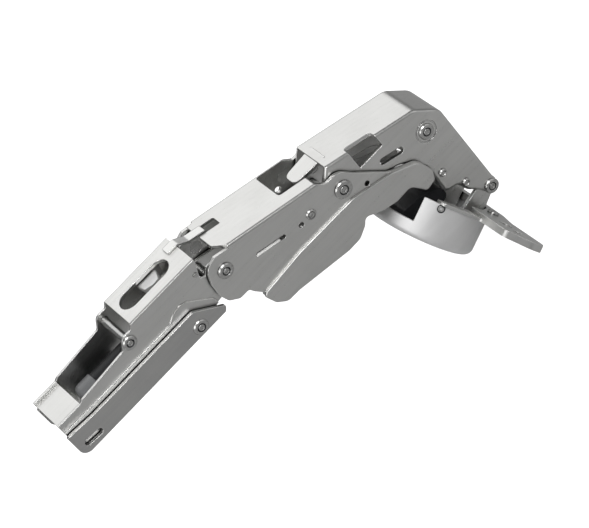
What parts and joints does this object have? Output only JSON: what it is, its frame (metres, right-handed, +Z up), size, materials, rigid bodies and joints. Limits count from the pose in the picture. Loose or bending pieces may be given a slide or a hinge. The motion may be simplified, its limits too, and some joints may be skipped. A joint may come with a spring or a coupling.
{
  "type": "cabinet hinge",
  "caption": "Wide-angle soft-close cabinet hinge: nested pressed-steel channel links fold a round door cup with screw wings round to the arm.",
  "frame": {"origin": "centre of the arm's rear end at its side slots, in the plane where the arm lands on its mounting plate", "axes": "+X forward along the fixed arm towards the door, +Z up off the mounting plate, Y across the hinge's width"},
  "size_m": [0.1429, 0.0756, 0.0749],
  "materials": {
    "satin_nickel_steel": "satin nickel plate",
    "frosted_cup_steel": "frosted nickel plate",
    "satin_nickel_flange": "satin nickel plate",
    "dark_plastic": "moulded, matt",
    "grey_plastic": "moulded, smooth",
    "spring_steel": "bright strip",
    "rivet_steel": "plated, polished head"
  },
  "bodies": {
    "arm": {"outer_arm": "satin_nickel_steel", "inner_arm": "satin_nickel_steel", "arm_pivot_rivet_near": "rivet_steel", "arm_pivot_rivet_far": "rivet_steel", "cross_pin": "rivet_steel", "adjust_rivet": "rivet_steel", "spring_pin": "rivet_steel", "stop_finger": "spring_steel", "damper_cylinder": "dark_plastic", "damper_end_cap": "grey_plastic", "damper_cradle": "dark_plastic", "catch_lever": "spring_steel"},
    "middle_link_body": {"middle_link": "satin_nickel_steel", "centre_pivot_rivet_near": "rivet_steel", "centre_pivot_rivet_far": "rivet_steel", "guide_rivet": "rivet_steel"},
    "inner_link_body": {"inner_link": "satin_nickel_steel", "inner_link_rear_pin": "rivet_steel", "inner_link_front_pin": "rivet_steel"},
    "outer_link_body": {"outer_link": "satin_nickel_steel", "corner_rivet": "rivet_steel", "cup_pivot_pin": "rivet_steel", "upper_stud": "rivet_steel", "lower_stud": "rivet_steel"},
    "door_cup": {"hinge_cup": "frosted_cup_steel", "mounting_flange": "satin_nickel_flange", "cup_bracket": "satin_nickel_steel", "soft_close_block": "dark_plastic", "flange_rivet_near": "rivet_steel", "flange_rivet_far": "rivet_steel"},
    "damper_ram": {"damper_rod": "rivet_steel", "damper_slider": "dark_plastic"}
  },
  "joints": [
    {"name": "fold_hinge", "type": "hinge", "parent": "arm", "child": "middle_link_body", "pos_m": [0.0615, 0, 0.0105], "axis": [0, -1, 0], "range_deg": [0, 78]},
    {"name": "twin_hinge", "type": "hinge", "parent": "arm", "child": "inner_link_body", "pos_m": [0.0576, 0, 0.0059], "axis": [0, -1, 0], "range_deg": [0, 78]},
    {"name": "elbow_hinge", "type": "hinge", "parent": "middle_link_body", "child": "outer_link_body", "pos_m": [0.10212, 0, 0.00022], "axis": [0, -1, 0], "range_deg": [-78, 0]},
    {"name": "cup_hinge", "type": "hinge", "parent": "outer_link_body", "child": "door_cup", "pos_m": [0.13672, 0, -0.04048], "axis": [0, -1, 0], "range_deg": [0, 156]},
    {"name": "damper_slide", "type": "slide", "parent": "arm", "child": "damper_ram", "axis": [-1, 0, 0], "range_m": [0, 0.0024]}
  ],
  "couplings": [
    {"joint": "twin_hinge", "follows": "fold_hinge", "ratio": 1},
    {"joint": "elbow_hinge", "follows": "fold_hinge", "ratio": -1},
    {"joint": "cup_hinge", "follows": "fold_hinge", "ratio": 2},
    {"joint": "damper_slide", "follows": "fold_hinge", "m_per_rad": 0.0017629}
  ]
}
